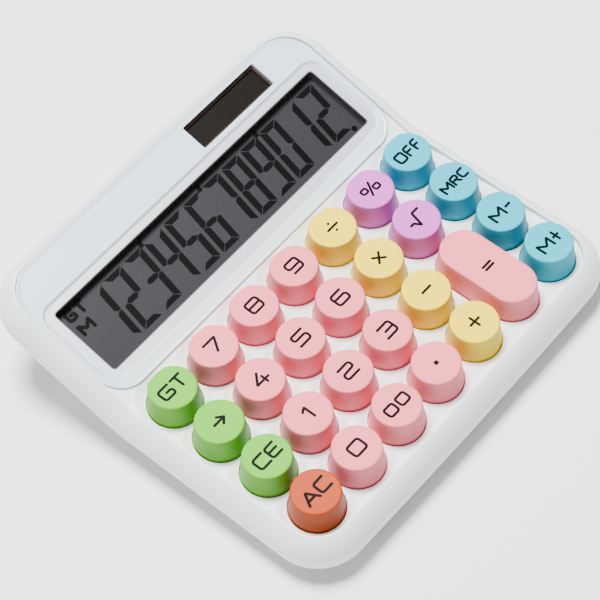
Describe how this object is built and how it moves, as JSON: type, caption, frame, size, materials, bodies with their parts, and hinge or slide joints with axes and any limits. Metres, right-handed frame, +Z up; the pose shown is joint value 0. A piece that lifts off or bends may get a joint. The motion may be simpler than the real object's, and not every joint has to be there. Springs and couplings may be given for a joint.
{
  "type": "desk calculator",
  "caption": "Low desk calculator with a bent round-edged body, round tapered keys that press in, a wide tilted display, a solar window and a sliding battery door.",
  "frame": {"origin": "on the table under the middle of the footprint", "axes": "+X to the user's right, +Y away from the user, +Z up"},
  "size_m": [0.1482, 0.142, 0.039],
  "materials": {
    "frame_white": "fine satin moulding",
    "case_white": "fine spark-eroded texture",
    "deck_white": "satin",
    "panel_grey": "satin with a textured silver band round the window",
    "clear_lens": "clear polished acrylic",
    "black_plastic": "matt",
    "lcd_grey": "polariser film on glass",
    "elastomer": "plain",
    "circuit_board": "solder resist",
    "screw_steel": "zinc plated",
    "black_epoxy": "potted",
    "solar_cover": "clear polished acrylic",
    "solar_cell": "dark brown amorphous silicon",
    "wire_insulation": "plain",
    "dome_rubber": "translucent silicone",
    "ribbon_film": "polyimide film",
    "cell_jacket": "printed sleeve with no marks",
    "contact_plating": "nickel plated spring steel",
    "foot_rubber": "matt",
    "key_pink": "fine matt",
    "key_green": "fine matt",
    "key_orange": "fine matt",
    "key_yellow": "fine matt",
    "key_lilac": "fine matt",
    "key_cyan": "fine matt"
  },
  "bodies": {
    "root": {"top_frame": "frame_white", "bottom_case": "case_white", "keyboard_deck": "deck_white", "display_panel": "panel_grey", "lcd_lens": "clear_lens", "lcd_holder": "black_plastic", "lcd_glass": "lcd_grey", "zebra_connector": "elastomer", "display_board": "circuit_board", "display_board_screws": "screw_steel", "controller_chip": "black_epoxy", "capacitor": "black_epoxy", "solar_cover": "solar_cover", "solar_cell": "solar_cell", "solar_wires": "wire_insulation", "key_board": "circuit_board", "key_board_screws": "screw_steel", "dome_sheet": "dome_rubber", "keyboard_ribbon": "ribbon_film", "battery_tray": "black_plastic", "battery_cell": "cell_jacket", "spring_contact": "contact_plating", "plate_contact": "contact_plating", "battery_wires": "wire_insulation", "case_screws": "screw_steel", "rubber_feet": "foot_rubber"},
    "battery_door": {"battery_door": "case_white"},
    "key_gt": {"key_gt": "key_green"},
    "key_7": {"key_7": "key_pink"},
    "key_8": {"key_8": "key_pink"},
    "key_9": {"key_9": "key_pink"},
    "key_divide": {"key_divide": "key_yellow"},
    "key_percent": {"key_percent": "key_lilac"},
    "key_off": {"key_off": "key_cyan"},
    "key_backspace": {"key_backspace": "key_green"},
    "key_4": {"key_4": "key_pink"},
    "key_5": {"key_5": "key_pink"},
    "key_6": {"key_6": "key_pink"},
    "key_multiply": {"key_multiply": "key_yellow"},
    "key_square_root": {"key_square_root": "key_lilac"},
    "key_memory_recall": {"key_memory_recall": "key_cyan"},
    "key_ce": {"key_ce": "key_green"},
    "key_1": {"key_1": "key_pink"},
    "key_2": {"key_2": "key_pink"},
    "key_3": {"key_3": "key_pink"},
    "key_minus": {"key_minus": "key_yellow"},
    "key_equals": {"key_equals": "key_pink"},
    "key_memory_minus": {"key_memory_minus": "key_cyan"},
    "key_ac": {"key_ac": "key_orange"},
    "key_0": {"key_0": "key_pink"},
    "key_00": {"key_00": "key_pink"},
    "key_point": {"key_point": "key_pink"},
    "key_plus": {"key_plus": "key_yellow"},
    "key_memory_plus": {"key_memory_plus": "key_cyan"}
  },
  "joints": [
    {"name": "key_gt_press", "type": "slide", "parent": "root", "child": "key_gt", "axis": [0, 0.0523, -0.9986], "range_m": [0, 0.0025], "stiffness_N_per_m": 260, "springref_m": -0.001, "deforming": ["dome_sheet"]},
    {"name": "key_7_press", "type": "slide", "parent": "root", "child": "key_7", "axis": [0, 0.0523, -0.9986], "range_m": [0, 0.0025], "stiffness_N_per_m": 260, "springref_m": -0.001, "deforming": ["dome_sheet"]},
    {"name": "key_8_press", "type": "slide", "parent": "root", "child": "key_8", "axis": [0, 0.0523, -0.9986], "range_m": [0, 0.0025], "stiffness_N_per_m": 260, "springref_m": -0.001, "deforming": ["dome_sheet"]},
    {"name": "key_9_press", "type": "slide", "parent": "root", "child": "key_9", "axis": [0, 0.0523, -0.9986], "range_m": [0, 0.0025], "stiffness_N_per_m": 260, "springref_m": -0.001, "deforming": ["dome_sheet"]},
    {"name": "key_divide_press", "type": "slide", "parent": "root", "child": "key_divide", "axis": [0, 0.0523, -0.9986], "range_m": [0, 0.0025], "stiffness_N_per_m": 260, "springref_m": -0.001, "deforming": ["dome_sheet"]},
    {"name": "key_percent_press", "type": "slide", "parent": "root", "child": "key_percent", "axis": [0, 0.0523, -0.9986], "range_m": [0, 0.0025], "stiffness_N_per_m": 260, "springref_m": -0.001, "deforming": ["dome_sheet"]},
    {"name": "key_off_press", "type": "slide", "parent": "root", "child": "key_off", "axis": [0, 0.0523, -0.9986], "range_m": [0, 0.0025], "stiffness_N_per_m": 260, "springref_m": -0.001, "deforming": ["dome_sheet"]},
    {"name": "key_backspace_press", "type": "slide", "parent": "root", "child": "key_backspace", "axis": [0, 0.0523, -0.9986], "range_m": [0, 0.0025], "stiffness_N_per_m": 260, "springref_m": -0.001, "deforming": ["dome_sheet"]},
    {"name": "key_4_press", "type": "slide", "parent": "root", "child": "key_4", "axis": [0, 0.0523, -0.9986], "range_m": [0, 0.0025], "stiffness_N_per_m": 260, "springref_m": -0.001, "deforming": ["dome_sheet"]},
    {"name": "key_5_press", "type": "slide", "parent": "root", "child": "key_5", "axis": [0, 0.0523, -0.9986], "range_m": [0, 0.0025], "stiffness_N_per_m": 260, "springref_m": -0.001, "deforming": ["dome_sheet"]},
    {"name": "key_6_press", "type": "slide", "parent": "root", "child": "key_6", "axis": [0, 0.0523, -0.9986], "range_m": [0, 0.0025], "stiffness_N_per_m": 260, "springref_m": -0.001, "deforming": ["dome_sheet"]},
    {"name": "key_multiply_press", "type": "slide", "parent": "root", "child": "key_multiply", "axis": [0, 0.0523, -0.9986], "range_m": [0, 0.0025], "stiffness_N_per_m": 260, "springref_m": -0.001, "deforming": ["dome_sheet"]},
    {"name": "key_square_root_press", "type": "slide", "parent": "root", "child": "key_square_root", "axis": [0, 0.0523, -0.9986], "range_m": [0, 0.0025], "stiffness_N_per_m": 260, "springref_m": -0.001, "deforming": ["dome_sheet"]},
    {"name": "key_memory_recall_press", "type": "slide", "parent": "root", "child": "key_memory_recall", "axis": [0, 0.0523, -0.9986], "range_m": [0, 0.0025], "stiffness_N_per_m": 260, "springref_m": -0.001, "deforming": ["dome_sheet"]},
    {"name": "key_ce_press", "type": "slide", "parent": "root", "child": "key_ce", "axis": [0, 0.0523, -0.9986], "range_m": [0, 0.0025], "stiffness_N_per_m": 260, "springref_m": -0.001, "deforming": ["dome_sheet"]},
    {"name": "key_1_press", "type": "slide", "parent": "root", "child": "key_1", "axis": [0, 0.0523, -0.9986], "range_m": [0, 0.0025], "stiffness_N_per_m": 260, "springref_m": -0.001, "deforming": ["dome_sheet"]},
    {"name": "key_2_press", "type": "slide", "parent": "root", "child": "key_2", "axis": [0, 0.0523, -0.9986], "range_m": [0, 0.0025], "stiffness_N_per_m": 260, "springref_m": -0.001, "deforming": ["dome_sheet"]},
    {"name": "key_3_press", "type": "slide", "parent": "root", "child": "key_3", "axis": [0, 0.0523, -0.9986], "range_m": [0, 0.0025], "stiffness_N_per_m": 260, "springref_m": -0.001, "deforming": ["dome_sheet"]},
    {"name": "key_minus_press", "type": "slide", "parent": "root", "child": "key_minus", "axis": [0, 0.0523, -0.9986], "range_m": [0, 0.0025], "stiffness_N_per_m": 260, "springref_m": -0.001, "deforming": ["dome_sheet"]},
    {"name": "key_equals_press", "type": "slide", "parent": "root", "child": "key_equals", "axis": [0, 0.0523, -0.9986], "range_m": [0, 0.0025], "stiffness_N_per_m": 420, "springref_m": -0.001, "deforming": ["dome_sheet"]},
    {"name": "key_memory_minus_press", "type": "slide", "parent": "root", "child": "key_memory_minus", "axis": [0, 0.0523, -0.9986], "range_m": [0, 0.0025], "stiffness_N_per_m": 260, "springref_m": -0.001, "deforming": ["dome_sheet"]},
    {"name": "key_ac_press", "type": "slide", "parent": "root", "child": "key_ac", "axis": [0, 0.0523, -0.9986], "range_m": [0, 0.0025], "stiffness_N_per_m": 260, "springref_m": -0.001, "deforming": ["dome_sheet"]},
    {"name": "key_0_press", "type": "slide", "parent": "root", "child": "key_0", "axis": [0, 0.0523, -0.9986], "range_m": [0, 0.0025], "stiffness_N_per_m": 260, "springref_m": -0.001, "deforming": ["dome_sheet"]},
    {"name": "key_00_press", "type": "slide", "parent": "root", "child": "key_00", "axis": [0, 0.0523, -0.9986], "range_m": [0, 0.0025], "stiffness_N_per_m": 260, "springref_m": -0.001, "deforming": ["dome_sheet"]},
    {"name": "key_point_press", "type": "slide", "parent": "root", "child": "key_point", "axis": [0, 0.0523, -0.9986], "range_m": [0, 0.0025], "stiffness_N_per_m": 260, "springref_m": -0.001, "deforming": ["dome_sheet"]},
    {"name": "key_plus_press", "type": "slide", "parent": "root", "child": "key_plus", "axis": [0, 0.0523, -0.9986], "range_m": [0, 0.0025], "stiffness_N_per_m": 260, "springref_m": -0.001, "deforming": ["dome_sheet"]},
    {"name": "key_memory_plus_press", "type": "slide", "parent": "root", "child": "key_memory_plus", "axis": [0, 0.0523, -0.9986], "range_m": [0, 0.0025], "stiffness_N_per_m": 260, "springref_m": -0.001, "deforming": ["dome_sheet"]},
    {"name": "battery_door_slide", "type": "slide", "parent": "root", "child": "battery_door", "axis": [0, 1, 0], "range_m": [0, 0.024]}
  ]
}
